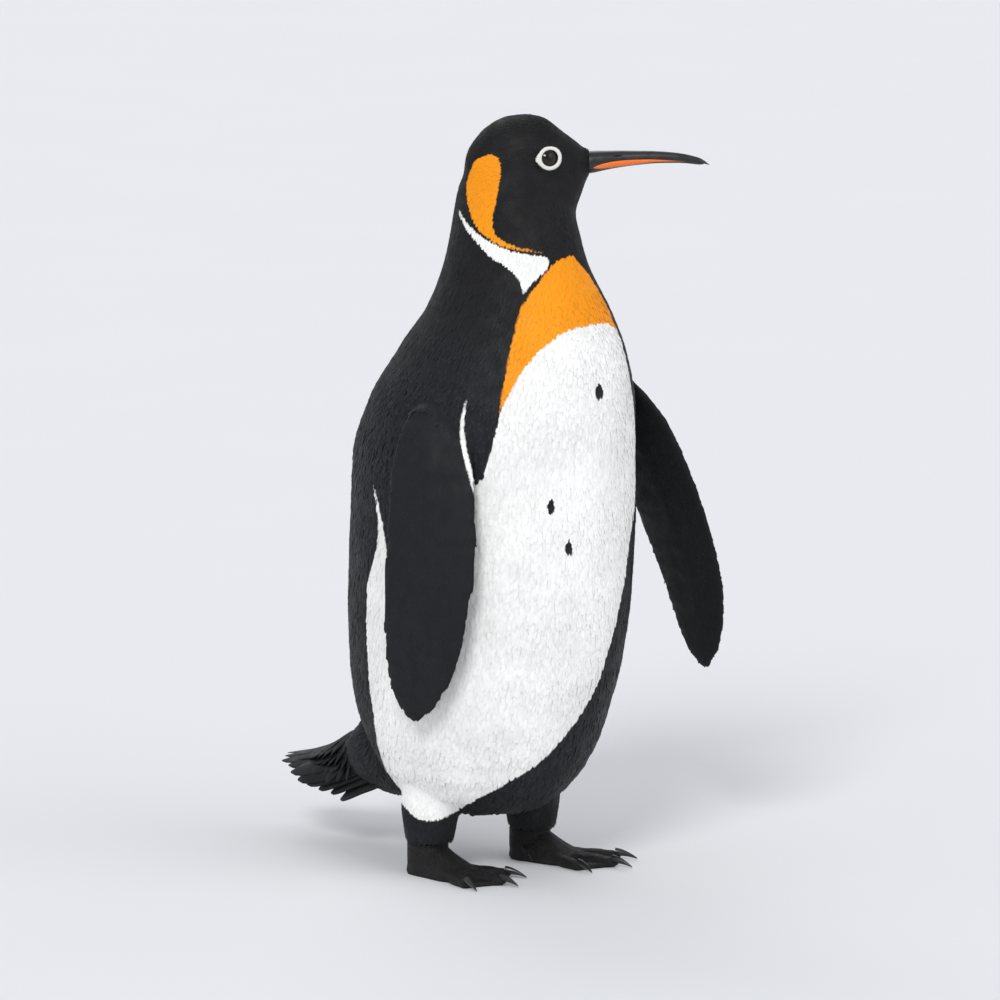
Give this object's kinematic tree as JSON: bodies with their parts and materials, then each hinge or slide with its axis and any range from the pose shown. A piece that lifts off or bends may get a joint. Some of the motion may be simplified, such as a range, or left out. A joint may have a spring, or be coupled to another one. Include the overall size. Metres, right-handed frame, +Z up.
{
  "type": "king penguin",
  "caption": "Standing king penguin, life size, a still museum model: black head turned to its left, golden ear and breast patches, white belly, flippers held down, feet flat.",
  "frame": {"origin": "centre of the whole bird's box, at the level of the soles", "axes": "+Z up, breast towards -Y, the bird's right side towards -X, head turned to its left towards +X"},
  "size_m": [0.4432, 0.5228, 0.8649],
  "materials": {
    "plumage_black": "soft close feathers, near black",
    "plumage_back": "close scale-like feathers, slate black",
    "plumage_gold": "soft close feathers, golden orange",
    "plumage_white": "soft close feathers, white",
    "bill": "smooth horn, satin black",
    "bill_plate": "smooth horn, satin orange",
    "eye": "glossy, dark brown",
    "foot": "pebbled scaly skin, matt black",
    "claw": "horn, satin black"
  },
  "bodies": {
    "root": {"head": "plumage_black", "bill_upper": "bill", "bill_lower": "bill", "bill_plate_left": "bill_plate", "bill_plate_right": "bill_plate", "eye_left": "eye", "eye_right": "eye", "ear_patch_left": "plumage_gold", "ear_patch_right": "plumage_gold", "neck": "plumage_black", "breast_patch": "plumage_gold", "belly": "plumage_white", "back": "plumage_back", "tail": "plumage_back", "flipper_left": "plumage_back", "flipper_right": "plumage_back", "leg_left": "plumage_black", "leg_right": "plumage_black", "foot_left": "foot", "foot_right": "foot", "claw_inner_left": "claw", "claw_middle_left": "claw", "claw_outer_left": "claw", "claw_hind_left": "claw", "claw_inner_right": "claw", "claw_middle_right": "claw", "claw_outer_right": "claw", "claw_hind_right": "claw"}
  },
  "joints": []
}
